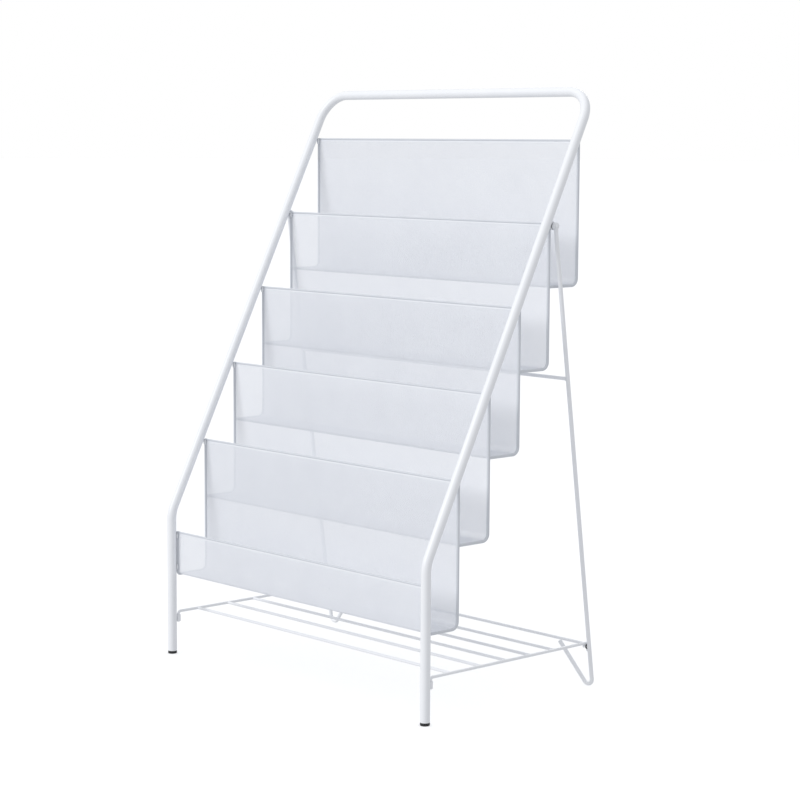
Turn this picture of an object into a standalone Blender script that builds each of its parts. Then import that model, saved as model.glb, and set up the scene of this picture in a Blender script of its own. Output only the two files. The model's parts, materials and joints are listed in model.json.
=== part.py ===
"""Easel-style newspaper rack in white powder-coated steel.

A bent tube frame carries five stepped mesh trays. A pair of wire legs is hinged
to it at the back, and a wire shelf ties the posts to the legs near the floor.
Metres, +Z up, +X to the rack's right as seen from the front, +Y to the rear.
The origin is at floor level, in the middle of the footprint.
"""
import math

import bmesh
import bpy
from mathutils import Matrix, Vector

MM = 0.001

# ---------------------------------------------------------------- dimensions

GAP = 0.3 * MM  # left between pieces that touch or are welded together

# Front frame: one bent tube
POST_Y = -190.2 * MM  # axis of the vertical posts
POST_SPACING = 660 * MM
POST_HEIGHT = 257 * MM  # the posts lean back above this
FRAME_HEIGHT = 1000 * MM  # axis of the top bar
SLOPE_RUN = 370 * MM  # how far the top bar lies behind the posts
TUBE_RADIUS = 8 * MM
TUBE_WALL = 1.2 * MM
TOP_CORNER_RADIUS = 50 * MM
POST_BEND_RADIUS = 60 * MM

# Foot plugs in the ends of the posts
PLUG_FLANGE = 5 * MM
PLUG_SPIGOT_RADIUS = 6.2 * MM
PLUG_SPIGOT_LENGTH = 14 * MM
PLUG_CHAMFER = 0.8 * MM

# Mesh trays, counted from the top
TRAY_TOP = 920 * MM
TRAY_RISE = 134.6 * MM
TRAY_COUNT = 5
TRAY_DROP = 237.6 * MM  # from a tray's top wire to its bottom
TRAY_CORNER_RADIUS = 12 * MM
LIP_HEIGHT = 76 * MM  # of the lowest tray's own front
LIP_CORNER_RADIUS = 5 * MM
EDGE_INSET = 4.5 * MM  # side wires sit this far inside the tubes' axes
SIDE_WIRE_RADIUS = 2.5 * MM
HEM_WIRE_RADIUS = 1.75 * MM
SHEET = 0.8 * MM

# Rear frame: two legs, each bent back up at the floor, and a crossbar
PIVOT_Z = 781.9 * MM
PIVOT_STANDOFF = 15 * MM  # hinge axis to tube axis
LEG_RADIUS = 3.5 * MM
LEG_X = 336.5 * MM
LEG_FOOT_SETBACK = 385 * MM  # behind the posts
HAIRPIN_RADIUS = 9.8 * MM
HAIRPIN_SPLAY = math.radians(39)  # of the returning wire from the leg
HAIRPIN_TIP_Z = 69.2 * MM
CROSSBAR_RADIUS = 3 * MM
CROSSBAR_Z = 530 * MM

# Hinges between the tubes and the legs
EYE_RADIUS = 5.8 * MM
EYE_THICKNESS = 6.4 * MM
SPACER_RADIUS = 4.6 * MM
SPACER_WIDTH = 1.7 * MM
LUG_RADIUS = 6.5 * MM
LUG_THICKNESS = 2.6 * MM
RIVET_RADIUS = 2.5 * MM
RIVET_HOLE_RADIUS = 2.75 * MM
RIVET_HEAD = ((4.4 * MM, 0.8 * MM), (2.6 * MM, 2.2 * MM))  # radius and height of its two edges

# Wire shelf: its front ends drop into sockets on the posts, its rear ends hook over studs on the legs
SHELF_Z = 75 * MM
SHELF_WIRE_RADIUS = 2.5 * MM
SHELF_SIDE_X = 328.5 * MM
SHELF_CROSS_WIRES = tuple(setback * MM for setback in (57, 126, 185, 241, 298, 371.5))  # behind the posts
SHELF_BEND_RADIUS = 5.3 * MM  # at the front, of the side wires' axis
STUB_END_Z = 56 * MM  # lower end of the side wires, in the sockets
SOCKET_RADIUS = 4.2 * MM
SOCKET_BORE_RADIUS = 2.85 * MM
SOCKET_TOP_Z = 69.2 * MM
SOCKET_HEIGHT = 12 * MM
STUD_RADIUS = 2.5 * MM
STUD_INNER_X = 323.8 * MM
STUD_COLLAR_RADIUS = 3.2 * MM
STUD_COLLAR_WIDTH = 1.2 * MM
STUD_CHAMFER = 0.5 * MM
STUD_SPACER_RADIUS = 4.4 * MM
STUD_SPACER_WIDTH = 1.4 * MM
REAR_HOOK_DROP = 9 * MM  # of the side wires' rear ends below the studs' axis

# Values that follow from the ones above
SLOPE = math.atan2(SLOPE_RUN, FRAME_HEIGHT - POST_HEIGHT)  # of the tubes, from upright
HALF_SPACING = POST_SPACING / 2
SIDE_WIRE_X = HALF_SPACING - EDGE_INSET
TRAY_HALF_WIDTH = SIDE_WIRE_X - SIDE_WIRE_RADIUS - GAP
HOOK_RADIUS = STUD_RADIUS + GAP + SHELF_WIRE_RADIUS  # of the rear bends, round the studs
STUD_Z = SHELF_Z - HOOK_RADIUS
STUB_Y = POST_Y + math.sqrt((TUBE_RADIUS + GAP + SOCKET_RADIUS) ** 2 - (HALF_SPACING - SHELF_SIDE_X) ** 2)

# Turns a drawing in local XY so that X lies along world Y and Y along world Z
SIDE_VIEW = Matrix.Rotation(math.pi / 2, 3, "Z") @ Matrix.Rotation(math.pi / 2, 3, "X")


def slope_y(z):
    """The Y of the sloping tubes' axis at height z."""
    return POST_Y + (z - POST_HEIGHT) * math.tan(SLOPE)


PIVOT_Y = slope_y(PIVOT_Z + PIVOT_STANDOFF * math.sin(SLOPE)) + PIVOT_STANDOFF * math.cos(SLOPE)
LEG_TILT = math.atan2(POST_Y + LEG_FOOT_SETBACK - PIVOT_Y, PIVOT_Z - LEG_RADIUS)


def leg_y(z):
    """The Y of the rear legs' axis at height z."""
    return PIVOT_Y + (PIVOT_Z - z) * math.tan(LEG_TILT)


STUD_Y = leg_y(STUD_Z)

# --------------------------------------------------------------- scene set-up


def clear_scene():
    for item in list(bpy.data.objects):
        bpy.data.objects.remove(item, do_unlink=True)


def new_collection(name):
    group = bpy.data.collections.new(name)
    bpy.context.scene.collection.children.link(group)
    return group


def new_material(name, color, roughness):
    material = bpy.data.materials.new(name)
    material.use_nodes = True
    shader = material.node_tree.nodes["Principled BSDF"]
    shader.inputs["Base Color"].default_value = (*color, 1.0)
    shader.inputs["Roughness"].default_value = roughness
    material.diffuse_color = (*color, 1.0)
    return material


clear_scene()
RACK = new_collection("newspaper_rack")
CUTTERS = new_collection("cutters")
POWDER_COAT = new_material("white_powder_coat", (0.86, 0.87, 0.89), 0.45)
MESH_COAT = new_material("coated_mesh", (0.84, 0.85, 0.88), 0.5)
BLACK_PLASTIC = new_material("black_plastic", (0.02, 0.02, 0.02), 0.5)


def add_object(name, data, material, parent=None, location=(0, 0, 0), rotation=None):
    """Links a new object into the rack, at a world location given for an unrotated parent."""
    item = bpy.data.objects.new(name, data)
    RACK.objects.link(item)
    item.parent = parent
    item.location = Vector(location) - (parent.location if parent else Vector())
    if rotation is not None:
        item.rotation_euler = rotation.to_euler()
    if material is not None:
        item.data.materials.append(material)
    return item


def add_pivot(name, location):
    pivot = bpy.data.objects.new(name, None)
    pivot.location = location
    RACK.objects.link(pivot)
    return pivot


def add_modifier(item, kind, **settings):
    modifier = item.modifiers.new(kind.title(), kind)
    for key, value in settings.items():
        setattr(modifier, key, value)
    return modifier


SHARP_ANGLE = math.radians(35)  # edges that turn more than this stay sharp


def smooth(mesh):
    mesh.shade_smooth()
    mesh.set_sharp_from_angle(angle=SHARP_ANGLE)


# ---------------------------------------------------------------- shape tools

ROUND_STEPS = 24  # faces round a turned piece or a hole
WELD_DISTANCE = 0.01 * MM  # points closer than this are made one
ARC_STEP = math.radians(15)  # turn of each chord in a bend
FRAME_ARC_STEP = math.radians(11)
FRAME_SIDES = 16  # faces round the frame's tube
LEG_SIDES = 12
WIRE_SIDES = 8


def rounded_path(corners, radii, step=ARC_STEP):
    """A path through corners, with an arc of each inner corner's radius, in chords of about step."""
    corners = [Vector(corner) for corner in corners]
    points = [corners[0]]
    for before, corner, after, radius in zip(corners, corners[1:], corners[2:], radii):
        to_before = (before - corner).normalized()
        to_after = (after - corner).normalized()
        turn = math.pi - to_before.angle(to_after)
        centre = corner + (to_before + to_after).normalized() * radius / math.cos(turn / 2)
        start = corner + to_before * radius * math.tan(turn / 2) - centre
        axis = (-to_before).cross(to_after).normalized()
        count = max(2, round(turn / step))
        turns = [Matrix.Rotation(turn * i / count, 3, axis) for i in range(count + 1)]
        points += [centre + part @ start for part in turns]
    return points + [corners[-1]]


def wire_curve(name, points, radius, origin, sides=WIRE_SIDES, capped=True):
    """A curve of round section through points, drawn from origin."""
    curve = bpy.data.curves.new(name, "CURVE")
    curve.dimensions = "3D"
    curve.bevel_depth = radius
    curve.bevel_resolution = sides // 2 - 2
    curve.use_fill_caps = capped
    spline = curve.splines.new("POLY")
    spline.points.add(len(points) - 1)
    for spline_point, point in zip(spline.points, points):
        spline_point.co = (*(Vector(point) - Vector(origin)), 1)
    return curve


def add_wire(name, points, radius, material=POWDER_COAT, parent=None, sides=WIRE_SIDES):
    """A wire or rod whose origin is at its first point."""
    curve = wire_curve(name, points, radius, points[0], sides)
    return add_object(name, curve, material, parent, points[0])


def add_cross_wire(name, half_length, y, z, radius, parent=None):
    """A straight wire along X, centred on the rack."""
    return add_wire(name, [(-half_length, y, z), (half_length, y, z)], radius, parent=parent)


def add_turned(name, profile, material, location, parent=None, side=None):
    """A solid turned about Z, or outwards about X, from (radius, height) points, top to bottom."""
    edges = [(i, i + 1) for i in range(len(profile) - 1)]
    mesh = bpy.data.meshes.new(name)
    mesh.from_pydata([(radius, 0, z) for radius, z in profile], edges, [])
    rotation = Matrix.Rotation(side * math.pi / 2, 3, "Y") if side else None
    item = add_object(name, mesh, material, parent, location, rotation)
    add_modifier(item, "SCREW", steps=ROUND_STEPS, render_steps=ROUND_STEPS, use_merge_vertices=True,
                 merge_threshold=WELD_DISTANCE, use_smooth_shade=True)
    add_modifier(item, "WEIGHTED_NORMAL")


def ring_profile(bore, radius, width):
    return [(bore, width), (radius, width), (radius, 0), (bore, 0), (bore, width)]


def add_cylinder_cutter(name, radius, length, location):
    """A cylinder along X that cuts or joins another piece."""
    bpy.ops.mesh.primitive_cylinder_add(
        vertices=ROUND_STEPS, radius=radius, depth=length, location=location, rotation=(0, math.pi / 2, 0))
    item = bpy.context.object
    item.name = name
    for group in item.users_collection:
        group.objects.unlink(item)
    CUTTERS.objects.link(item)
    item.hide_render = True
    item.display_type = "WIRE"
    return item


def curve_to_mesh(item):
    """Replaces a curve object by a mesh object of the same name, with its caps welded on."""
    name, parent, basis = item.name, item.parent, item.matrix_basis.copy()
    depsgraph = bpy.context.evaluated_depsgraph_get()
    mesh = bpy.data.meshes.new_from_object(item.evaluated_get(depsgraph))
    bpy.data.objects.remove(item, do_unlink=True)
    weld = bmesh.new()
    weld.from_mesh(mesh)
    bmesh.ops.remove_doubles(weld, verts=weld.verts, dist=WELD_DISTANCE)
    weld.to_mesh(mesh)
    weld.free()
    solid = bpy.data.objects.new(name, mesh)
    RACK.objects.link(solid)
    solid.parent = parent
    solid.matrix_basis = basis
    return solid


def side_name(side):
    return "right" if side > 0 else "left"


# ---------------------------------------------------------------- front frame


def build_front_frame():
    """The bent tube, and the plugs in its two open ends."""
    foot = PLUG_FLANGE + GAP
    half = [
        (HALF_SPACING, POST_Y, foot),
        (HALF_SPACING, POST_Y, POST_HEIGHT),
        (HALF_SPACING, POST_Y + SLOPE_RUN, FRAME_HEIGHT),
    ]
    corners = half + [(-x, y, z) for x, y, z in reversed(half)]
    radii = [POST_BEND_RADIUS, TOP_CORNER_RADIUS, TOP_CORNER_RADIUS, POST_BEND_RADIUS]
    origin = (0, POST_Y, 0)
    path = rounded_path(corners, radii, FRAME_ARC_STEP)
    curve = wire_curve("front_frame", path, TUBE_RADIUS, origin, sides=FRAME_SIDES, capped=False)
    frame = add_object("front_frame", curve, POWDER_COAT, location=origin)
    add_modifier(frame, "SOLIDIFY", thickness=TUBE_WALL, offset=-1)

    plug_top = PLUG_FLANGE + PLUG_SPIGOT_LENGTH
    plug = [
        (0, plug_top),
        (PLUG_SPIGOT_RADIUS - PLUG_CHAMFER, plug_top),
        (PLUG_SPIGOT_RADIUS, plug_top - PLUG_CHAMFER),
        (PLUG_SPIGOT_RADIUS, PLUG_FLANGE),
        (TUBE_RADIUS, PLUG_FLANGE),
        (TUBE_RADIUS, PLUG_CHAMFER),
        (TUBE_RADIUS - PLUG_CHAMFER, 0),
        (0, 0),
    ]
    for side in (-1, 1):
        place = (side * HALF_SPACING, POST_Y, 0)
        add_turned(f"foot_plug_{side_name(side)}", plug, BLACK_PLASTIC, place)


# ---------------------------------------------------------------------- trays


def behind_tube(z=None):
    """The Y at which a side wire touches the tubes from behind: at height z, or along the posts."""
    reach = math.sqrt((TUBE_RADIUS + SIDE_WIRE_RADIUS + GAP) ** 2 - EDGE_INSET**2)
    if z is None:
        return POST_Y + reach
    return slope_y(z + HEM_WIRE_RADIUS) + reach / math.cos(SLOPE)


def tray_top(number):
    return TRAY_TOP - (number - 1) * TRAY_RISE


def tray_bottom(number):
    return tray_top(number) - TRAY_DROP


def add_tray_sheet(name, path):
    """A bent mesh sheet, as wide as the gap between the side wires; path holds (y, z) points."""
    curve = bpy.data.curves.new(name, "CURVE")
    curve.dimensions = "3D"
    curve.extrude = TRAY_HALF_WIDTH
    spline = curve.splines.new("POLY")
    spline.points.add(len(path) - 1)
    origin = Vector((0, path[0].y, path[0].z))
    for spline_point, point in zip(spline.points, path):
        spline_point.co = (point.y - origin.y, point.z - origin.z, 0, 1)
    sheet = add_object(name, curve, MESH_COAT, location=origin, rotation=SIDE_VIEW)
    add_modifier(sheet, "SOLIDIFY", thickness=SHEET, offset=0, use_even_offset=True)


def build_tray(number):
    """A mesh tray with its wire edges, shaped like an L, or like a J where it has a lip of its own."""
    has_lip = number == TRAY_COUNT
    top, bottom = tray_top(number), tray_bottom(number)
    lip_top = bottom + LIP_HEIGHT
    back = behind_tube(top)
    front = behind_tube() if has_lip else behind_tube(tray_top(number + 1))
    hem = front + SHEET / 2 + GAP + HEM_WIRE_RADIUS

    def profile(x, start, end):
        """The tray's outline in the plane at x, from below the top edge to its front edge."""
        corners = [(x, back, start), (x, back, bottom), (x, front if has_lip else end, bottom)]
        radii = [TRAY_CORNER_RADIUS]
        if has_lip:
            corners.append((x, front, end))
            radii.append(LIP_CORNER_RADIUS)
        return rounded_path(corners, radii)

    past_hem = HEM_WIRE_RADIUS + GAP
    sheet_end = lip_top - past_hem if has_lip else hem + past_hem
    add_tray_sheet(f"tray_{number}_mesh", profile(0, top - past_hem, sheet_end))

    wire_end = lip_top + HEM_WIRE_RADIUS if has_lip else front + SIDE_WIRE_RADIUS + GAP
    for side in (-1, 1):
        path = profile(side * SIDE_WIRE_X, top + HEM_WIRE_RADIUS, wire_end)
        add_wire(f"tray_{number}_side_wire_{side_name(side)}", path, SIDE_WIRE_RADIUS)

    add_cross_wire(f"tray_{number}_top_wire", TRAY_HALF_WIDTH, back, top, HEM_WIRE_RADIUS)
    if has_lip:
        add_cross_wire(f"tray_{number}_lip_wire", TRAY_HALF_WIDTH, front, lip_top, HEM_WIRE_RADIUS)
    else:
        add_cross_wire(f"tray_{number}_front_wire", TRAY_HALF_WIDTH, hem, bottom, HEM_WIRE_RADIUS)


# ----------------------------------------------------------------- rear frame


def leg_point(x, z):
    """A point of the legs' plane, from its X and its height."""
    return Vector((x, leg_y(z), z))


def build_leg(side, pivot):
    """A leg rod: an eye at the top, then down to the floor and back up inwards in a hairpin."""
    drop = Vector((0, math.sin(LEG_TILT), -math.cos(LEG_TILT)))
    inward = Vector((-side, 0, 0))
    # Leg and return would meet below the floor; the bend between them comes down to it
    bend_height = LEG_RADIUS + HAIRPIN_RADIUS * math.cos(LEG_TILT)
    turn = math.pi - HAIRPIN_SPLAY
    corner = leg_point(side * LEG_X, bend_height) + drop * HAIRPIN_RADIUS * math.tan(turn / 2)
    rise = -drop * math.cos(HAIRPIN_SPLAY) + inward * math.sin(HAIRPIN_SPLAY)
    tip = corner + rise * (HAIRPIN_TIP_Z - corner.z) / rise.z
    path = rounded_path([leg_point(side * LEG_X, PIVOT_Z), corner, tip], [HAIRPIN_RADIUS])
    name = f"rear_leg_{side_name(side)}"
    leg = curve_to_mesh(add_wire(name, path, LEG_RADIUS, parent=pivot, sides=LEG_SIDES))

    place = (side * LEG_X, PIVOT_Y, PIVOT_Z)
    eye = add_cylinder_cutter(f"{name}_eye", EYE_RADIUS, EYE_THICKNESS, place)
    hole = add_cylinder_cutter(f"{name}_hole", RIVET_HOLE_RADIUS, 2 * EYE_THICKNESS, place)
    add_modifier(leg, "BOOLEAN", operation="UNION", object=eye, solver="EXACT")
    add_modifier(leg, "BOOLEAN", operation="DIFFERENCE", object=hole, solver="EXACT")
    smooth(leg.data)


def arc_points(radius, start, end, steps):
    """Points on a circle about the origin, from one angle to another."""
    angles = [start + (end - start) * i / steps for i in range(steps + 1)]
    return [(radius * math.cos(angle), radius * math.sin(angle)) for angle in angles]


def build_hinge_lug(name, x):
    """The plate welded to the back of the tube, with a round end and a hole for the hinge rivet."""
    weld_edge = TUBE_RADIUS + GAP - PIVOT_STANDOFF
    round_end = arc_points(LUG_RADIUS, -math.pi / 2, math.pi / 2, ROUND_STEPS // 2)
    outline = [(weld_edge, -LUG_RADIUS), *round_end, (weld_edge, LUG_RADIUS)]
    hole = arc_points(RIVET_HOLE_RADIUS, 0, 2 * math.pi, ROUND_STEPS)[:-1]
    curve = bpy.data.curves.new(name, "CURVE")
    curve.dimensions = "2D"
    curve.fill_mode = "BOTH"
    curve.extrude = LUG_THICKNESS / 2
    for points in (outline, hole):
        spline = curve.splines.new("POLY")
        spline.points.add(len(points) - 1)
        for spline_point, point in zip(spline.points, points):
            spline_point.co = (*point, 0, 1)
        spline.use_cyclic_u = True
    across_tube = Matrix.Rotation(-SLOPE, 3, "X") @ SIDE_VIEW
    add_object(name, curve, POWDER_COAT, location=(x, PIVOT_Y, PIVOT_Z), rotation=across_tube)


def build_hinge(side, pivot):
    """From the tube outwards: the lug, a spacer, the leg's eye and the rivet through them all."""
    name = side_name(side)
    spacer_face = LEG_X - EYE_THICKNESS / 2 - GAP - SPACER_WIDTH
    lug_face = spacer_face - GAP - LUG_THICKNESS
    build_hinge_lug(f"hinge_lug_{name}", side * (lug_face + LUG_THICKNESS / 2))

    spacer = ring_profile(RIVET_HOLE_RADIUS, SPACER_RADIUS, SPACER_WIDTH)
    place = (side * spacer_face, PIVOT_Y, PIVOT_Z)
    add_turned(f"hinge_spacer_{name}", spacer, BLACK_PLASTIC, place, pivot, side)

    under_head = LEG_X + EYE_THICKNESS / 2 + GAP - lug_face
    (rim_radius, rim_height), (crown_radius, crown_height) = RIVET_HEAD
    rivet = [
        (0, under_head + crown_height),
        (crown_radius, under_head + crown_height),
        (rim_radius, under_head + rim_height),
        (rim_radius, under_head),
        (RIVET_RADIUS, under_head),
        (RIVET_RADIUS, 0),
        (0, 0),
    ]
    place = (side * lug_face, PIVOT_Y, PIVOT_Z)
    add_turned(f"hinge_rivet_{name}", rivet, POWDER_COAT, place, side=side)


def build_shelf_stud(side, pivot):
    """The stud on the inside of a leg that a rear hook drops over, and the spacer between hook and leg."""
    name = side_name(side)
    outer_x = LEG_X - LEG_RADIUS - GAP
    length = outer_x - STUD_INNER_X
    stud = [
        (0, length),
        (STUD_RADIUS, length),
        (STUD_RADIUS, STUD_COLLAR_WIDTH),
        (STUD_COLLAR_RADIUS, STUD_COLLAR_WIDTH),
        (STUD_COLLAR_RADIUS, STUD_CHAMFER),
        (STUD_COLLAR_RADIUS - STUD_CHAMFER, 0),
        (0, 0),
    ]
    place = (side * STUD_INNER_X, STUD_Y, STUD_Z)
    add_turned(f"shelf_stud_{name}", stud, POWDER_COAT, place, pivot, side)

    spacer = ring_profile(STUD_RADIUS + GAP, STUD_SPACER_RADIUS, STUD_SPACER_WIDTH)
    place = (side * (outer_x - STUD_SPACER_WIDTH), STUD_Y, STUD_Z)
    add_turned(f"shelf_spacer_{name}", spacer, BLACK_PLASTIC, place, pivot, side)


def build_rear_frame():
    pivot = add_pivot("rear_frame_pivot", (0, PIVOT_Y, PIVOT_Z))
    for side in (-1, 1):
        build_leg(side, pivot)
        build_hinge(side, pivot)
        build_shelf_stud(side, pivot)
    half_length = LEG_X - LEG_RADIUS - GAP
    add_cross_wire("rear_crossbar", half_length, leg_y(CROSSBAR_Z), CROSSBAR_Z, CROSSBAR_RADIUS, pivot)


# ---------------------------------------------------------------------- shelf


def build_shelf():
    """Sockets behind the posts, and the grille: cross wires between two side wires with bent-down ends."""
    pivot = add_pivot("shelf_pivot", (0, STUB_Y, SHELF_Z))
    socket = ring_profile(SOCKET_BORE_RADIUS, SOCKET_RADIUS, SOCKET_HEIGHT)
    for side in (-1, 1):
        name = side_name(side)
        x = side * SHELF_SIDE_X
        place = (x, STUB_Y, SOCKET_TOP_Z - SOCKET_HEIGHT)
        add_turned(f"shelf_socket_{name}", socket, POWDER_COAT, place)
        corners = [
            (x, STUB_Y, STUB_END_Z),
            (x, STUB_Y, SHELF_Z),
            (x, STUD_Y + HOOK_RADIUS, SHELF_Z),
            (x, STUD_Y + HOOK_RADIUS, STUD_Z - REAR_HOOK_DROP),
        ]
        path = rounded_path(corners, [SHELF_BEND_RADIUS, HOOK_RADIUS])
        add_wire(f"shelf_side_wire_{name}", path, SHELF_WIRE_RADIUS, parent=pivot)
    half_length = SHELF_SIDE_X - SHELF_WIRE_RADIUS - GAP
    for number, setback in enumerate(SHELF_CROSS_WIRES, start=1):
        name = f"shelf_cross_wire_{number}"
        add_cross_wire(name, half_length, POST_Y + setback, SHELF_Z, SHELF_WIRE_RADIUS, pivot)


build_front_frame()
for tray in range(1, TRAY_COUNT + 1):
    build_tray(tray)
build_rear_frame()
build_shelf()
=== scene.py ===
"""The finished look of a newspaper rack: white powder-coated tube and wire with fine mesh trays.

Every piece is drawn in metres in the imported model's own frame: +Z up, -Y the front.
"""
import json
import math

import bpy
from mathutils import Matrix, Vector, noise


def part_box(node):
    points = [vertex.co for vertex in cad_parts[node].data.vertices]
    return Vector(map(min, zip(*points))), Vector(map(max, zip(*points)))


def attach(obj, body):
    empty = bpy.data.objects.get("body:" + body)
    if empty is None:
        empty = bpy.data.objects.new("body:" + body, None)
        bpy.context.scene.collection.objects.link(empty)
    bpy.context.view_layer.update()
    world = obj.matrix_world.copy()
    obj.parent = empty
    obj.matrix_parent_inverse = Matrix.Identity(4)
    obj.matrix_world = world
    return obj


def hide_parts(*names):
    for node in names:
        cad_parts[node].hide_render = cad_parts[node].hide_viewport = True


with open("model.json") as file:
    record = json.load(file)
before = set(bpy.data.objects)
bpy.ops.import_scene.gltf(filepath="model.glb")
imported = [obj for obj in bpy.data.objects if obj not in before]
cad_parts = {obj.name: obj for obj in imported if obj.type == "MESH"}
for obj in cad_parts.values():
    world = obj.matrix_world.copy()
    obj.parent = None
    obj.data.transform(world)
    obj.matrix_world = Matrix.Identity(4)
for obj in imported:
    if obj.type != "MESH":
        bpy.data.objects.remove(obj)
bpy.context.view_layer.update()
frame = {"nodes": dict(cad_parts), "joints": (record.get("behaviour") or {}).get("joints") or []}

MM = 0.001


# ------------------------------------------------------------------ positions


def middle(node):
    low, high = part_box(node)
    return (low + high) / 2


PLUG = middle("foot_plug_right")
POST_X, POST_Y = PLUG.x, PLUG.y
PIVOT = Vector(next(joint["pos_m"] for joint in frame["joints"] if joint["name"] == "rear_frame_fold"))

# ---------------------------------------------------------------------- sizes

TUBE_RADIUS = 8 * MM
TUBE_WALL = 1.2 * MM
POST_FOOT = 5.1 * MM  # where the tube starts, above the plugs' flanges
POST_HEIGHT = 257 * MM
FRAME_HEIGHT = 1000 * MM
SLOPE_RUN = 370 * MM
POST_BEND_RADIUS = 60 * MM
TOP_CORNER_RADIUS = 50 * MM

TRAYS = (1, 2, 3, 4, 5)
LIPPED_TRAY = 5
TRAY_DROP = 237.6 * MM  # from a tray's top wire to its bottom
TRAY_CORNER_RADIUS = 12 * MM
LIP_CORNER_RADIUS = 5 * MM
SIDE_WIRE_RADIUS = 2.5 * MM
HEM_WIRE_RADIUS = 1.75 * MM
HEM_SETBACK = 2.45 * MM  # of a tray's front wire from the tubes' own line
SIDE_WIRE_SETBACK = 1.5 * MM  # of a side wire's front end from the tubes' own line
SELVEDGE_DEPTH = 2.6 * MM
SELVEDGE_THICKNESS = 1.1 * MM
MESH_TUCK = 1 * MM  # how far the mesh stays below the middle of its top wire
MESH_SIDE_TUCK = 1.5 * MM  # and inside the middles of its side wires

LEG_RADIUS = 3.5 * MM
LEG_X = 336.5 * MM
LEG_FOOT_SETBACK = 385 * MM
LEG_TILT = math.atan2(POST_Y + LEG_FOOT_SETBACK - PIVOT.y, PIVOT.z - LEG_RADIUS)
HAIRPIN_RADIUS = 9.8 * MM
HAIRPIN_SPLAY = math.radians(39)  # of the returning rod from the leg
HAIRPIN_TIP_Z = 69.2 * MM
CROSSBAR_RADIUS = 3 * MM
EYE_RADIUS = 5.8 * MM
EYE_THICKNESS = 6.4 * MM
EYE_EDGE = 0.5 * MM
EYE_TO_ROD = 4.4 * MM  # from the middle of an eye to the end of its rod
RIVET_RADIUS = 2.5 * MM
RIVET_EDGE = 0.3 * MM
RIVET_PLAY = 0.2 * MM
HINGE_BUSH = 2.75 * MM, 4.6 * MM, 0.4 * MM  # bore, radius, and how far its edges are rounded

SHELF_WIRE_RADIUS = 2.5 * MM
SHELF_SIDE_X = 328.5 * MM
SHELF_Z = 75 * MM
SHELF_BEND_RADIUS = 5.3 * MM
SHELF_WIRES = range(1, 7)
HOOK_RADIUS = 5.3 * MM
REAR_HOOK_DROP = 9 * MM
STUD_RADIUS = 2.5 * MM
STUD_Z = SHELF_Z - HOOK_RADIUS
STUD_HEAD_HEIGHT = 1.2 * MM
STUD_WELD_DEPTH = 0.8 * MM  # how far a stud runs into its leg
STUD_BUSH = 2.8 * MM, 4.4 * MM, 0.35 * MM
STUB_END_Z = 56 * MM
SOCKET_BORE, SOCKET_EDGE = 2.85 * MM, 0.4 * MM

CORE = 0.05 * MM  # the radius at which a turned end closes
CREASE = math.radians(35)
WELD_CREASE = math.radians(80)
TUBE_STEP = math.radians(3)  # angles between the rings of bent pieces
WIRE_STEP = math.radians(6)
MESH_STEP = math.radians(15)
LEG_STEP = math.radians(6)
SHELF_STEP = math.radians(8)
TUBE_SIDES, LEG_SIDES, WIRE_SIDES = 40, 28, 20
PLUG_SIDES, TURNED_SIDES = 48, 36

# ---------------------------------------------------------------------- welds

BEAD_SIDES = 10
BEAD_STEPS = 6  # rings in each ripple
BEAD_RIDGE = 0.09  # how much a ripple stands out, of the bead's radius
BEAD_WANDER, BEAD_WANDER_LENGTH = 0.1, 1.5 * MM  # how unevenly a bead is laid
BEAD_END, BEAD_BLUNTNESS = 0.12, 0.45  # how a bead thins out at its ends

# Places of upright beads beside a tray's side wire: outwards and forwards from its middle
SIDE_WIRE_BEADS = ((-2.6 * MM, 3.4 * MM), (2.2 * MM, 2.2 * MM))
SIDE_WIRE_BEAD_RADIUS = 1.3 * MM
SIDE_WIRE_BEAD_HALF = 5 * MM
TOP_BEAD_DROP = 4 * MM  # middles of beads: below a tray's top,
LIP_BEAD_DROP = 6 * MM  # below the lip's top
LOW_BEAD_RISE = 14 * MM  # and above the lipped tray's bottom
# Beads that lie across the front ends of the other trays' side wires
FRONT_BEAD_RADIUS, FRONT_BEAD_HALF = 1.2 * MM, 2.2 * MM
FRONT_BEAD_SETBACK, FRONT_BEAD_RISE = 1.6 * MM, 2.6 * MM

LEG_BEAD_RADIUS, LEG_BEAD_HALF = 1.1 * MM, 3 * MM
LEG_BEAD_RISE = 2.6 * MM  # above and below the crossbar's middle
SOCKET_BEAD_RADIUS, SOCKET_BEAD_INSET = 1.1 * MM, 1 * MM
SOCKET_BEAD_AWAY, SOCKET_BEAD_REACH = 2.9 * MM, 3.4 * MM
SHELF_BEAD_RADIUS, SHELF_BEAD_HALF = 1.0 * MM, 1.8 * MM
SHELF_BEAD_AWAY = 2.4 * MM

# ------------------------------------------------------------------ materials

POLYESTER_IOR = 1.5
LDPE_IOR = 1.51
COAT_DRIFT = 60 * MM
COAT_PEEL = 1.6 * MM  # ripples of orange peel are 1 to 2 mm across
COAT_NIBS = 0.4 * MM  # pinholes and dust nibs are about 0.3 mm; they only vary the gloss
PLASTIC_GRAIN = 0.5 * MM  # the grain is about 0.15 mm, and is drawn larger to show
PLASTIC_GRAIN_DEPTH = 0.04 * MM
PLASTIC_SCUFF = 5 * MM
COAT_SPREAD = (-0.05, 0.06)  # of a coat's roughness to either side of its own
PLASTIC_ROUGHNESS = (0.42, 0.6)


def linear(code):
    """The linear colour of an sRGB hex code."""
    channels = [int(code[i:i + 2], 16) / 255 for i in (1, 3, 5)]
    return tuple(c / 12.92 if c <= 0.04045 else ((c + 0.055) / 1.055) ** 2.4 for c in channels) + (1.0,)


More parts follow.
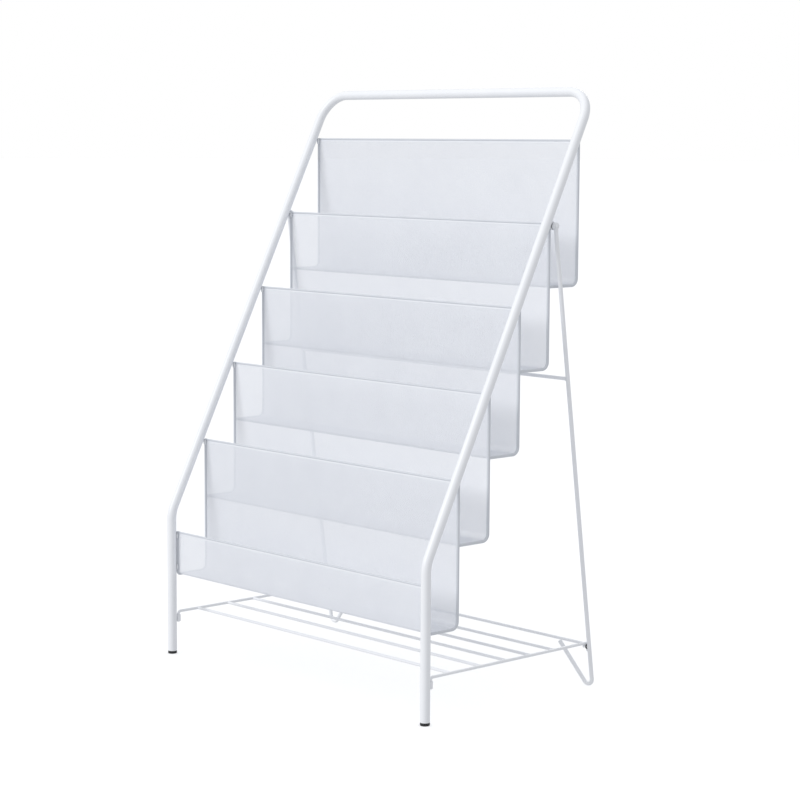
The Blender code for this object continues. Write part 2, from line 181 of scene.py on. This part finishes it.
def add_node(tree, kind, settings=None, **sockets):
    """Adds a node. Sockets go by label, or by _ and their number, and take a value or an output."""
    node = tree.nodes.new(kind)
    for key, value in (settings or {}).items():
        setattr(node, key, value)
    for key, value in sockets.items():
        socket = node.inputs[int(key[1:])] if key[0] == "_" else node.inputs[key.replace("_", " ")]
        if isinstance(value, bpy.types.NodeSocket):
            tree.links.new(value, socket)
        else:
            socket.default_value = value
    return node


def new_material(name, **sockets):
    material = bpy.data.materials.new(name)
    material.use_nodes = True
    tree = material.node_tree
    shader = tree.nodes["Principled BSDF"]
    for key, value in sockets.items():
        shader.inputs[key.replace("_", " ")].default_value = value
    place = add_node(tree, "ShaderNodeTexCoord").outputs["Object"]
    return material, tree, shader, place


def add_noise(tree, place, size, detail):
    """Noise with features of this size, in metres."""
    node = add_node(tree, "ShaderNodeTexNoise", Vector=place, Scale=1 / size, Detail=detail)
    return node.outputs["Fac"]


def add_tint(tree, mix, light, dark):
    """The colour between two others, by mix."""
    node = add_node(tree, "ShaderNodeMix", {"data_type": "RGBA"}, _0=mix, _6=light, _7=dark)
    return node.outputs[2]


def finish_shader(tree, shader, colour, gloss, ripple, depth):
    """Gives the shader its colour, its roughness and a bump of this depth, in metres."""
    bump = add_node(tree, "ShaderNodeBump", Strength=0.5, Distance=depth, Height=ripple)
    tree.links.new(colour, shader.inputs["Base Color"])
    tree.links.new(gloss.outputs["Result"], shader.inputs["Roughness"])
    tree.links.new(bump.outputs["Normal"], shader.inputs["Normal"])


def powder_coat(name, light, dark, roughness, peel_depth):
    """Polyester powder, sprayed dry and baked: satin white, softly rippled like orange peel."""
    material, tree, shader, place = new_material(name, IOR=POLYESTER_IOR)
    tint = add_tint(tree, add_noise(tree, place, COAT_DRIFT, 3.0), linear(light), linear(dark))
    peel = add_noise(tree, place, COAT_PEEL, 2.0)
    nibs = add_noise(tree, place, COAT_NIBS, 1.0)
    low, high = (roughness + spread for spread in COAT_SPREAD)
    gloss = add_node(tree, "ShaderNodeMapRange", Value=nibs, To_Min=low, To_Max=high)
    finish_shader(tree, shader, tint, gloss, peel, peel_depth)
    return material


def moulded_plastic(name, light, dark):
    """LDPE, pressed in a spark-eroded mould: matt, with a fine even grain."""
    material, tree, shader, place = new_material(name, IOR=LDPE_IOR)
    grain = add_noise(tree, place, PLASTIC_GRAIN, 2.0)
    scuff = add_noise(tree, place, PLASTIC_SCUFF, 4.0)
    tint = add_tint(tree, scuff, linear(dark), linear(light))
    low, high = PLASTIC_ROUGHNESS
    gloss = add_node(tree, "ShaderNodeMapRange", Value=scuff, To_Min=low, To_Max=high)
    finish_shader(tree, shader, tint, gloss, grain, PLASTIC_GRAIN_DEPTH)
    return material


FRAME_COAT = powder_coat("satin_powder_coat", "#F3F4F6", "#EBEDF1", 0.36, 0.06 * MM)
MESH_COAT = powder_coat("mesh_powder_coat", "#F1F3F7", "#EAECF1", 0.42, 0.03 * MM)
# The trays' thin wires get a greyer coat than the mesh: painted shade, for the shade that falls on the
# hems and side wires
PAINTED_SHADE_WIRE_COAT = powder_coat("wire_coat_painted_shade", "#D5D8DD", "#CBCFD5", 0.5, 0.03 * MM)
BLACK_LDPE = moulded_plastic("black_ldpe", "#242527", "#141516")

# ---------------------------------------------------------------- shape tools


class Shape:
    """Points and faces that are gathered up and then made into one piece."""

    def __init__(self):
        self.points, self.faces = [], []

    def add(self, points, faces):
        first = len(self.points)
        self.points += points
        self.faces += [[first + i for i in face] for face in faces]

    def piece(self, name, material, body, nodes=(), crease=CREASE):
        """Makes the piece, which rides on a body and stands for CAD nodes."""
        mesh = bpy.data.meshes.new(name)
        mesh.from_pydata(self.points, [], self.faces)
        mesh.materials.append(material)
        mesh.shade_smooth()
        mesh.set_sharp_from_angle(angle=crease)
        item = bpy.data.objects.new(name, mesh)
        bpy.context.scene.collection.objects.link(item)
        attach(item, body)
        if nodes:
            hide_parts(*nodes)


def bent_path(corners, radii, step):
    """A path through corners, with an arc at each inner corner of its radius, in steps of an angle."""
    corners = [Vector(corner) for corner in corners]
    points = [corners[0]]
    for before, corner, after, radius in zip(corners, corners[1:], corners[2:], radii):
        to_before = (before - corner).normalized()
        to_after = (after - corner).normalized()
        turn = math.pi - to_before.angle(to_after)
        centre = corner + (to_before + to_after).normalized() * radius / math.cos(turn / 2)
        start = corner + to_before * radius * math.tan(turn / 2) - centre
        axis = (-to_before).cross(to_after).normalized()
        count = max(3, round(turn / step))
        turns = [Matrix.Rotation(turn * i / count, 3, axis) for i in range(count + 1)]
        points += [centre + rotation @ start for rotation in turns]
    return points + [corners[-1]]


def rings_along(path, radii, sides):
    """Rings of points round a path, one for each of its points, without twist between them."""
    count = len(path)
    ahead = [(path[min(i + 1, count - 1)] - path[max(i - 1, 0)]).normalized() for i in range(count)]
    across = ahead[0].orthogonal().normalized()
    rings = []
    for centre, direction, radius in zip(path, ahead, radii):
        across = (across - direction * across.dot(direction)).normalized()
        beside = direction.cross(across)
        angles = [math.tau * k / sides for k in range(sides)]
        rings += [centre + (across * math.cos(a) + beside * math.sin(a)) * radius for a in angles]
    return rings


def band_faces(count, sides, closed=False):
    """The faces that join count rings, each to the next, and the last to the first if closed."""
    faces = []
    for ring in range(count if closed else count - 1):
        here, there = ring * sides, (ring + 1) % count * sides
        for k in range(sides):
            right = (k + 1) % sides
            faces.append([here + k, here + right, there + right, there + k])
    return faces


def add_rod(shape, path, radius, sides=WIRE_SIDES):
    """A round rod with its cut ends' edges taken off."""
    chamfer = radius * 0.22
    first, last = (path[1] - path[0]).normalized(), (path[-1] - path[-2]).normalized()
    path = [path[0], path[0] + first * chamfer, *path[1:-1], path[-1] - last * chamfer, path[-1]]
    radii = [radius - chamfer, *[radius] * (len(path) - 2), radius - chamfer]
    faces = band_faces(len(path), sides) + end_caps(len(path), sides)
    shape.add(rings_along(path, radii, sides), faces)


def add_tube(shape, path, radius, wall, sides=TUBE_SIDES):
    """A tube that is open at both ends."""
    outer = rings_along(path, [radius] * len(path), sides)
    inner = rings_along(path, [radius - wall] * len(path), sides)
    back = reversed(range(len(path)))
    inner = [point for ring in back for point in inner[ring * sides:(ring + 1) * sides]]
    shape.add(outer + inner, band_faces(2 * len(path), sides, closed=True))


def end_caps(count, sides):
    """The two faces that close the ends of count rings."""
    last = (count - 1) * sides
    return [list(range(sides))[::-1], list(range(last, last + sides))]


def add_cross_rod(shape, half_length, y, z, radius):
    """A straight rod across the rack."""
    add_rod(shape, [Vector((-half_length, y, z)), Vector((half_length, y, z))], radius)


def add_bead(shape, start, end, radius, ripples=5):
    """A weld bead: low rounded ridges in a row, thinning out at both ends."""
    start, end = Vector(start), Vector(end)
    steps = BEAD_STEPS * ripples
    path, radii = [], []
    for i in range(steps + 1):
        t = i / steps
        swell = max(BEAD_END, math.sin(math.pi * t)) ** BEAD_BLUNTNESS
        ridge = 1 + BEAD_RIDGE * math.sin(math.tau * ripples * t)
        spot = (start + (end - start) * t) / BEAD_WANDER_LENGTH
        path.append(start.lerp(end, t))
        radii.append(radius * swell * ridge * (1 + BEAD_WANDER * noise.noise(spot)))
    rings = rings_along(path, radii, BEAD_SIDES)
    shape.add(rings, band_faces(len(path), BEAD_SIDES) + end_caps(len(path), BEAD_SIDES))


def turned_points(profile, base, axis, steps):
    """Rings of points round axis, one for each (radius, height) point."""
    axis = Vector(axis).normalized()
    across = axis.orthogonal().normalized()
    beside = axis.cross(across)
    points = []
    for radius, height in profile:
        centre = Vector(base) + axis * height
        angles = [math.tau * k / steps for k in range(steps)]
        points += [centre + (across * math.cos(a) + beside * math.sin(a)) * radius for a in angles]
    return points


def add_turned(shape, profile, base, axis, steps=TURNED_SIDES):
    """A solid turned about axis from (radius, height) points."""
    faces = band_faces(len(profile), steps) + end_caps(len(profile), steps)
    shape.add(turned_points(profile, base, axis, steps), faces)


def add_ring(shape, profile, base, axis, steps=TURNED_SIDES):
    """A ring turned about axis from a closed profile of (radius, height) points."""
    faces = band_faces(len(profile), steps, closed=True)
    shape.add(turned_points(profile, base, axis, steps), faces)


def bush_profile(bore, radius, width, edge):
    """A ring with rounded outer edges."""
    nick = 0.3 * edge
    return [(bore, 0), (radius - edge, 0), (radius - nick, nick), (radius, edge),
            (radius, width - edge), (radius - nick, width - nick), (radius - edge, width),
            (bore, width)]


def in_mm(*pairs, base=0.0):
    """A profile from (radius, height) pairs in millimetres, with heights from base, in metres."""
    return [(radius * MM, base + height * MM) for radius, height in pairs]


def side_piece(node, side):
    """Where a turned CAD piece starts, at its end towards the rack's middle, and how long it is."""
    low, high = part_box(f"{node}_{side_name(side)}")
    place = (low + high) / 2
    return Vector((min(low.x, high.x, key=abs), place.y, place.z)), high.x - low.x


def sheet_normals(path):
    """The normals of a sheet that lies across the rack along a path in the YZ plane."""
    last = len(path) - 1
    return [Vector((1, 0, 0)).cross((path[min(i + 1, last)] - path[max(i - 1, 0)]).normalized())
            for i in range(last + 1)]


def add_strip(shape, path, half_width, thickness):
    """A bent strip across the rack, solid, that follows a path in the YZ plane."""
    path = [Vector(point) for point in path]
    corners = ((-1, 1), (1, 1), (1, -1), (-1, -1))
    points = []
    for point, normal in zip(path, sheet_normals(path)):
        out = normal * thickness / 2
        points += [Vector((x * half_width, *(point + out * face).yz)) for x, face in corners]
    shape.add(points, band_faces(len(path), 4) + end_caps(len(path), 4))


def side_name(side):
    return "right" if side > 0 else "left"


# ---------------------------------------------------------------- front frame


def build_frame_tube():
    half = [
        (POST_X, POST_Y, POST_FOOT),
        (POST_X, POST_Y, POST_HEIGHT),
        (POST_X, POST_Y + SLOPE_RUN, FRAME_HEIGHT),
    ]
    corners = half + [(-x, y, z) for x, y, z in reversed(half)]
    radii = [POST_BEND_RADIUS, TOP_CORNER_RADIUS, TOP_CORNER_RADIUS, POST_BEND_RADIUS]
    tube = Shape()
    add_tube(tube, bent_path(corners, radii, TUBE_STEP), TUBE_RADIUS, TUBE_WALL)
    tube.piece("frame_tube", FRAME_COAT, "rack", ["front_frame"])


def build_foot_plug(side):
    """A plug with a rounded sole, a flange as wide as the tube and ribs that grip inside it."""
    ribs = [pair for rib in (8, 11, 14) for pair in ((6.0, rib - 1), (6.7, rib), (6.0, rib + 0.4))]
    profile = in_mm((0.1, 0), (6.9, 0), (7.4, 0.15), (7.8, 0.5), (7.95, 1.1), (7.95, 4.3), (7.8, 4.8),
                    (7.3, 5.0), (6.2, 5.0), *ribs, (6.0, 17), (5.4, 19), (0.1, 19))
    name = side_name(side)
    plug = Shape()
    add_turned(plug, profile, (side * POST_X, POST_Y, 0), (0, 0, 1), PLUG_SIDES)
    plug.piece(f"foot_cap_{name}", BLACK_LDPE, "rack", [f"foot_plug_{name}"])


# ---------------------------------------------------------------------- trays

# Micro-mesh of expanded steel, with diamonds of 3.2 by 2 mm. They lie across every other tray and up
# the rest, so that no two layers, one seen through the other, have the same grain.
DIAMOND_SIZES = ((3.2 * MM, 2.0 * MM), (2.0 * MM, 3.2 * MM))
STRAND_WIDTH = 0.7 * MM
STRAND_THICKNESS = 0.4 * MM
STRAND_TWIST = 0.12 * MM  # how far each direction of strand lies from the middle of the sheet
ROUNDING = 1e-9  # slack where a strand ends at the sheet's own end
SLIVER = 1e-6  # a stop isn't made this near another


def tray_places(number):
    """Back plane, top, bottom, front line and the end of the mesh at the front, for one tray."""
    top_wire = middle(f"tray_{number}_top_wire")
    bottom = top_wire.z - TRAY_DROP
    if number == LIPPED_TRAY:
        lip = middle("tray_5_lip_wire")
        return top_wire.y, top_wire.z, bottom, lip.y, lip.z
    hem = middle(f"tray_{number}_front_wire").y
    return top_wire.y, top_wire.z, bottom, hem - HEM_SETBACK, hem


def tray_side_x(number):
    return middle(f"tray_{number}_side_wire_right").x


def tray_path(number, x, start, end, step):
    """A tray's outline in side view, from the top of its back to its front edge."""
    back, _, bottom, front, _ = tray_places(number)
    if number == LIPPED_TRAY:
        corners = [(x, back, start), (x, back, bottom), (x, front, bottom), (x, front, end)]
    else:
        corners = [(x, back, start), (x, back, bottom), (x, end, bottom)]
    return bent_path(corners, [TRAY_CORNER_RADIUS, LIP_CORNER_RADIUS], step)


def add_mesh_strands(shape, path, half_width, diamond, lean):
    """One direction of the mesh's strands, laid on a bent sheet; lean is 1 or -1."""
    lengths = [0.0]
    for a, b in zip(path, path[1:]):
        lengths.append(lengths[-1] + (b - a).length)
    total = lengths[-1]
    outs = sheet_normals(path)

    def on_sheet(x, length, depth):
        i = next(k for k in range(1, len(lengths)) if length <= lengths[k] + ROUNDING)
        t = (length - lengths[i - 1]) / (lengths[i] - lengths[i - 1])
        point = path[i - 1].lerp(path[i], t) + outs[i - 1].lerp(outs[i], t) * depth
        return Vector((x, point.y, point.z))

    width, height = diamond
    run = width / height * lean  # how far across a strand goes for each step down the sheet
    half_strand = STRAND_WIDTH / 2 * math.hypot(1, run)
    near, far = (STRAND_TWIST * lean + away * STRAND_THICKNESS / 2 for away in (-1, 1))
    count = math.ceil((half_width + abs(run) * total / 2) / width)
    for line in range(-count, count + 1):
        centre_x = line * width  # where it crosses the sheet's middle
        ends = sorted((total / 2 + (s * half_width - centre_x) / run) for s in (-1, 1))
        low, high = max(0.0, ends[0]), min(total, ends[1])
        if high - low < height / 4:
            continue
        bends = [length for length in lengths if low + SLIVER < length < high - SLIVER]
        stops = [low, *bends, high]
        points = []
        for stop in stops:
            x = centre_x + (stop - total / 2) * run
            points += [on_sheet(x - half_strand, stop, near), on_sheet(x + half_strand, stop, near),
                       on_sheet(x + half_strand, stop, far), on_sheet(x - half_strand, stop, far)]
        shape.add(points, band_faces(len(stops), 4) + end_caps(len(stops), 4))


def build_tray_mesh(number):
    """The strands of one tray's mesh."""
    _, top, _, front, end = tray_places(number)
    half_width = tray_side_x(number) - MESH_SIDE_TUCK
    path = tray_path(number, 0, top - MESH_TUCK, end, MESH_STEP)
    parts = [path]
    if number == LIPPED_TRAY:
        # The grain of the lip lies the other way from that of the sheet behind it
        bend = next(i for i, point in enumerate(path) if point.y < front + LIP_CORNER_RADIUS + 0.1 * MM)
        parts = [path[:bend + 1], path[bend:]]
    sheet = Shape()
    for turned, part in enumerate(parts):
        for lean in (1, -1):
            add_mesh_strands(sheet, part, half_width, DIAMOND_SIZES[(number + turned) % 2], lean)
    sheet.piece(f"tray_{number}_wire_mesh", MESH_COAT, "rack", [f"tray_{number}_mesh"])


def build_tray_selvedge(number):
    """Narrow solid margins of the mesh, along its top edge and its front edge."""
    back, top, bottom, front, end = tray_places(number)
    near, far = MESH_TUCK, HEM_WIRE_RADIUS + SELVEDGE_DEPTH
    if number == LIPPED_TRAY:
        front_margin = [(0, front, end - near), (0, front, end - far)]
    else:
        front_margin = [(0, end + near, bottom), (0, end + far, bottom)]
    margin = Shape()
    for path in ([(0, back, top - near), (0, back, top - far)], front_margin):
        add_strip(margin, path, tray_side_x(number), SELVEDGE_THICKNESS)
    margin.piece(f"tray_{number}_selvedge", MESH_COAT, "rack")


def build_tray_wires(number):
    """The bent wires at a tray's sides and the straight ones along its top and front."""
    back, top, bottom, front, end = tray_places(number)
    side_x = tray_side_x(number)
    tray = f"tray_{number}"
    if number == LIPPED_TRAY:
        wire_end = end + HEM_WIRE_RADIUS
        front_rod = "lip_rod", "lip_wire", front, end
    else:
        wire_end = front + SIDE_WIRE_SETBACK
        front_rod = "front_rod", "front_wire", end, bottom
    for side in (-1, 1):
        name = side_name(side)
        wire = Shape()
        path = tray_path(number, side * side_x, top + HEM_WIRE_RADIUS, wire_end, WIRE_STEP)
        add_rod(wire, path, SIDE_WIRE_RADIUS)
        wire.piece(f"{tray}_edge_{name}", PAINTED_SHADE_WIRE_COAT, "rack",
                   [f"{tray}_side_wire_{name}"])
    for name, node, y, z in (("top_rod", "top_wire", back, top), front_rod):
        rod = Shape()
        add_cross_rod(rod, side_x, y, z, HEM_WIRE_RADIUS)
        rod.piece(f"{tray}_{name}", PAINTED_SHADE_WIRE_COAT, "rack", [f"{tray}_{node}"])


def build_frame_welds():
    """Beads that hold the trays to the tubes."""
    welds = Shape()
    for side in (-1, 1):
        for number in TRAYS:
            back, top, bottom, front, end = tray_places(number)
            x = side * tray_side_x(number)
            lipped = number == LIPPED_TRAY
            uprights = [(back, top - TOP_BEAD_DROP)]
            if lipped:
                uprights += [(front, end - LIP_BEAD_DROP), (front, bottom + LOW_BEAD_RISE)]
            for line_y, z in uprights:
                for out, reach in SIDE_WIRE_BEADS:
                    bead_x, bead_y = x + side * out, line_y - reach
                    add_bead(welds, (bead_x, bead_y, z - SIDE_WIRE_BEAD_HALF),
                             (bead_x, bead_y, z + SIDE_WIRE_BEAD_HALF), SIDE_WIRE_BEAD_RADIUS)
            if not lipped:
                y, z = front + FRONT_BEAD_SETBACK, bottom + FRONT_BEAD_RISE
                add_bead(welds, (x - side * FRONT_BEAD_HALF, y, z),
                         (x + side * FRONT_BEAD_HALF, y, z), FRONT_BEAD_RADIUS, 3)
    welds.piece("frame_welds", FRAME_COAT, "rack", crease=WELD_CREASE)


# ----------------------------------------------------------------- rear frame


def leg_y(z):
    """Where a leg's middle line is, at a height."""
    return PIVOT.y + (PIVOT.z - z) * math.tan(LEG_TILT)


def build_leg(side):
    """A leg rod with an eye at its top and a hairpin bend at the floor."""
    drop = Vector((0, math.sin(LEG_TILT), -math.cos(LEG_TILT)))
    inward = Vector((-side, 0, 0))
    bend_height = LEG_RADIUS + HAIRPIN_RADIUS * math.cos(LEG_TILT)
    turn = math.pi - HAIRPIN_SPLAY
    bend = Vector((side * LEG_X, leg_y(bend_height), bend_height))
    corner = bend + drop * HAIRPIN_RADIUS * math.tan(turn / 2)
    rise = -drop * math.cos(HAIRPIN_SPLAY) + inward * math.sin(HAIRPIN_SPLAY)
    tip = corner + rise * (HAIRPIN_TIP_Z - corner.z) / rise.z
    eye = Vector((side * LEG_X, PIVOT.y, PIVOT.z))
    leg = Shape()
    path = bent_path([eye + drop * EYE_TO_ROD, corner, tip], [HAIRPIN_RADIUS], LEG_STEP)
    add_rod(leg, path, LEG_RADIUS, LEG_SIDES)
    half, hole, edge = EYE_THICKNESS / 2, RIVET_RADIUS + RIVET_PLAY, EYE_EDGE
    profile = [(hole, -half + edge), (hole + edge, -half),
               (EYE_RADIUS - edge, -half), (EYE_RADIUS, -half + edge),
               (EYE_RADIUS, half - edge), (EYE_RADIUS - edge, half),
               (hole + edge, half), (hole, half - edge)]
    add_ring(leg, profile, eye, (1, 0, 0))
    name = side_name(side)
    leg.piece(f"leg_rod_{name}", FRAME_COAT, "rear_frame", [f"rear_leg_{name}"])


def build_bush(node, name, size, side):
    """A black spacer on a pin that lies across the rack."""
    base, width = side_piece(node, side)
    bore, radius, edge = size
    bush = Shape()
    add_ring(bush, bush_profile(bore, radius, width, edge), base, (side, 0, 0))
    bush.piece(f"{name}_{side_name(side)}", BLACK_LDPE, "rear_frame",
               [f"{node}_{side_name(side)}"])


def build_rivet(side):
    """The coated rivet of a hinge, with its round head outside."""
    name = side_name(side)
    base, length = side_piece("hinge_rivet", side)
    head = ((4.1, 0), (4.4, 0.3), (4.35, 0.8), (4.0, 1.35),
            (3.3, 1.8), (2.3, 2.07), (1.2, 2.17), (0.05, 2.2))
    under = length - head[-1][1] * MM
    profile = [(CORE, 0), (RIVET_RADIUS - RIVET_EDGE, 0), (RIVET_RADIUS, RIVET_EDGE),
               (RIVET_RADIUS, under), *in_mm(*head, base=under)]
    rivet = Shape()
    add_turned(rivet, profile, base, (side, 0, 0))
    rivet.piece(f"hinge_pin_{name}", FRAME_COAT, "rack", [f"hinge_rivet_{name}"])


def build_shelf_stud(side):
    """A coated stud on the inside of a leg, with a small head towards the rack's middle."""
    name = side_name(side)
    base, length = side_piece("shelf_stud", side)
    profile = [*in_mm((0.05, 0), (2.4, 0), (2.95, 0.2), (3.2, 0.5), (3.2, 0.9), (2.9, 1.2)),
               (STUD_RADIUS, STUD_HEAD_HEIGHT),
               (STUD_RADIUS, length + STUD_WELD_DEPTH),
               (CORE, length + STUD_WELD_DEPTH)]
    stud = Shape()
    add_turned(stud, profile, base, (side, 0, 0))
    stud.piece(f"shelf_peg_{name}", FRAME_COAT, "rear_frame", [f"shelf_stud_{name}"])


def build_leg_bar():
    """The crossbar between the legs, and the beads that hold it."""
    _, y, z = middle("rear_crossbar")
    bar = Shape()
    add_cross_rod(bar, LEG_X, y, z, CROSSBAR_RADIUS)
    bar.piece("leg_bar", FRAME_COAT, "rear_frame", ["rear_crossbar"])
    welds = Shape()
    for side in (-1, 1):
        x = side * (LEG_X - LEG_RADIUS)
        for away in (-1, 1):
            bead_z = z + away * LEG_BEAD_RISE
            add_bead(welds, (x, y - LEG_BEAD_HALF, bead_z), (x, y + LEG_BEAD_HALF, bead_z),
                     LEG_BEAD_RADIUS, 3)
    welds.piece("leg_welds", FRAME_COAT, "rear_frame", crease=WELD_CREASE)


# ---------------------------------------------------------------------- shelf


def build_shelf_socket(side):
    """A short tube welded upright behind a post."""
    name = side_name(side)
    low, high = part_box(f"shelf_socket_{name}")
    centre = (low + high) / 2
    socket = Shape()
    profile = bush_profile(SOCKET_BORE, (high.x - low.x) / 2, high.z - low.z, SOCKET_EDGE)
    add_ring(socket, profile, (centre.x, centre.y, low.z), (0, 0, 1))
    for away in (-1, 1):
        x, y = centre.x + away * SOCKET_BEAD_AWAY, centre.y - SOCKET_BEAD_REACH
        add_bead(socket, (x, y, low.z + SOCKET_BEAD_INSET), (x, y, high.z - SOCKET_BEAD_INSET),
                 SOCKET_BEAD_RADIUS, 4)
    socket.piece(f"shelf_cup_{name}", FRAME_COAT, "rack", [f"shelf_socket_{name}"])


def build_shelf():
    """Two side wires with bent ends, the wires across them, and the beads where they cross."""
    front, rear = middle("shelf_socket_right").y, middle("shelf_stud_right").y + HOOK_RADIUS
    for side in (-1, 1):
        x = side * SHELF_SIDE_X
        corners = [
            (x, front, STUB_END_Z),
            (x, front, SHELF_Z),
            (x, rear, SHELF_Z),
            (x, rear, STUD_Z - REAR_HOOK_DROP),
        ]
        name = side_name(side)
        rod = Shape()
        path = bent_path(corners, [SHELF_BEND_RADIUS, HOOK_RADIUS], SHELF_STEP)
        add_rod(rod, path, SHELF_WIRE_RADIUS)
        rod.piece(f"shelf_edge_{name}", FRAME_COAT, "shelf", [f"shelf_side_wire_{name}"])
    welds = Shape()
    for number in SHELF_WIRES:
        _, wire_y, z = middle(f"shelf_cross_wire_{number}")
        rod = Shape()
        add_cross_rod(rod, SHELF_SIDE_X, wire_y, z, SHELF_WIRE_RADIUS)
        rod.piece(f"shelf_rod_{number}", FRAME_COAT, "shelf",
                  [f"shelf_cross_wire_{number}"])
        for side in (-1, 1):
            for away in (-1, 1):
                x, y = side * (SHELF_SIDE_X - SHELF_BEAD_AWAY), wire_y + away * SHELF_BEAD_AWAY
                add_bead(welds, (x, y, z - SHELF_BEAD_HALF), (x, y, z + SHELF_BEAD_HALF),
                         SHELF_BEAD_RADIUS, 2)
    welds.piece("shelf_welds", FRAME_COAT, "shelf", crease=WELD_CREASE)


# --------------------------------------------------------------------- studio

CAMERA_TURN = (47.1302, 6.7296, 0.3454)  # yaw to the left, pitch down and roll, in degrees
CAMERA_PLACE = (2.78619, -2.33803 + POST_Y, 0.91792)
FOCAL_LENGTH, SENSOR_WIDTH = 98.895, 36.0
CAMERA_REACH = 500  # how far the camera sees, in metres
FLOOR_HALF = 80.0
WALL_LIGHT, WALL_SEEN = (0.66, 0.67, 0.69, 1.0), (1.0, 1.0, 1.0, 1.0)
# Name, direction, strength and angle in degrees of the lights on the rack
SOFTBOXES = (
    ("overhead_softbox", (0.15, 0.1, -1), 0.5, 60),
    ("front_softbox", (0.3, 0.85, -0.43), 1.2, 25),
    ("rear_softbox", (0.45, -0.8, -0.4), 0.5, 30),
)
FLOOR_WASH = ("floor_wash", (0, 0, -1), 1.5, 60)


def build_camera():
    """The camera stands to the rack's right, at its own height, and looks a little down."""
    yaw, pitch, roll = (math.radians(angle) for angle in CAMERA_TURN)
    level_reach = math.cos(pitch)
    ahead = Vector((-math.sin(yaw) * level_reach, math.cos(yaw) * level_reach, -math.sin(pitch)))
    level = ahead.cross(Vector((0, 0, 1))).normalized()
    over = level.cross(ahead)
    right = level * math.cos(roll) + over * math.sin(roll)
    up = over * math.cos(roll) - level * math.sin(roll)
    data = bpy.data.cameras.new("camera")
    data.lens, data.sensor_width = FOCAL_LENGTH, SENSOR_WIDTH
    data.clip_end = CAMERA_REACH
    camera = bpy.data.objects.new("camera", data)
    turn = Matrix((right, up, -ahead)).transposed().to_4x4()
    camera.matrix_world = Matrix.Translation(CAMERA_PLACE) @ turn
    bpy.context.scene.collection.objects.link(camera)
    bpy.context.scene.camera = camera


def add_sun(name, towards, strength, softness):
    """A sun that shines towards a direction, as wide as softness, in degrees."""
    data = bpy.data.lights.new(name, "SUN")
    data.energy, data.angle = strength, math.radians(softness)
    sun = bpy.data.objects.new(name, data)
    sun.rotation_euler = Vector(towards).to_track_quat("-Z", "Y").to_euler()
    bpy.context.scene.collection.objects.link(sun)
    return sun


def build_studio():
    """A white floor and walls, and soft light from in front, from above and a little from behind."""
    scene = bpy.context.scene
    scene.view_settings.view_transform = "Standard"
    mesh = bpy.data.meshes.new("floor")
    corners = ((-1, -1), (1, -1), (1, 1), (-1, 1))
    mesh.from_pydata([(x * FLOOR_HALF, y * FLOOR_HALF, 0) for x, y in corners], [], [(0, 1, 2, 3)])
    floor = bpy.data.objects.new("floor", mesh)
    mesh.materials.append(new_material("white_paper", Base_Color=linear("#F7F7F7"), Roughness=0.9)[0])
    scene.collection.objects.link(floor)
    # The floor is washed with light of its own, which it doesn't throw back on the rack
    floor.visible_diffuse = floor.visible_glossy = False

    world = bpy.data.worlds.new("studio")
    world.use_nodes = True
    tree = world.node_tree
    # The walls are seen at full white, and their light on the rack is softer
    seen = add_node(tree, "ShaderNodeLightPath").outputs["Is Camera Ray"]
    walls = add_tint(tree, seen, WALL_LIGHT, WALL_SEEN)
    tree.links.new(walls, tree.nodes["Background"].inputs["Color"])
    scene.world = world

    softboxes = [add_sun(*softbox) for softbox in SOFTBOXES]
    wash = add_sun(*FLOOR_WASH)
    wash.data.use_shadow = False
    lit = bpy.data.collections.new("washed")
    lit.objects.link(floor)
    wash.light_linking.receiver_collection = lit
    shaded = bpy.data.collections.new("not_softbox_lit")
    shaded.objects.link(floor)
    shaded.collection_objects[0].light_linking.link_state = "EXCLUDE"
    for softbox in softboxes:
        softbox.light_linking.receiver_collection = shaded


build_camera()
build_frame_tube()
for tray in TRAYS:
    build_tray_mesh(tray)
    build_tray_selvedge(tray)
    build_tray_wires(tray)
build_frame_welds()
for rack_side in (-1, 1):
    build_foot_plug(rack_side)
    build_leg(rack_side)
    # The hinges' spacers are black as painted shade: they stand in for the shadowed gap between tube
    # and leg
    build_bush("hinge_spacer", "hinge_bush_painted_shade", HINGE_BUSH, rack_side)
    build_rivet(rack_side)
    build_shelf_stud(rack_side)
    build_bush("shelf_spacer", "shelf_bush", STUD_BUSH, rack_side)
    build_shelf_socket(rack_side)
    lug = frame["nodes"][f"hinge_lug_{side_name(rack_side)}"]
    lug.data.materials.clear()
    lug.data.materials.append(FRAME_COAT)
build_leg_bar()
build_shelf()
build_studio()
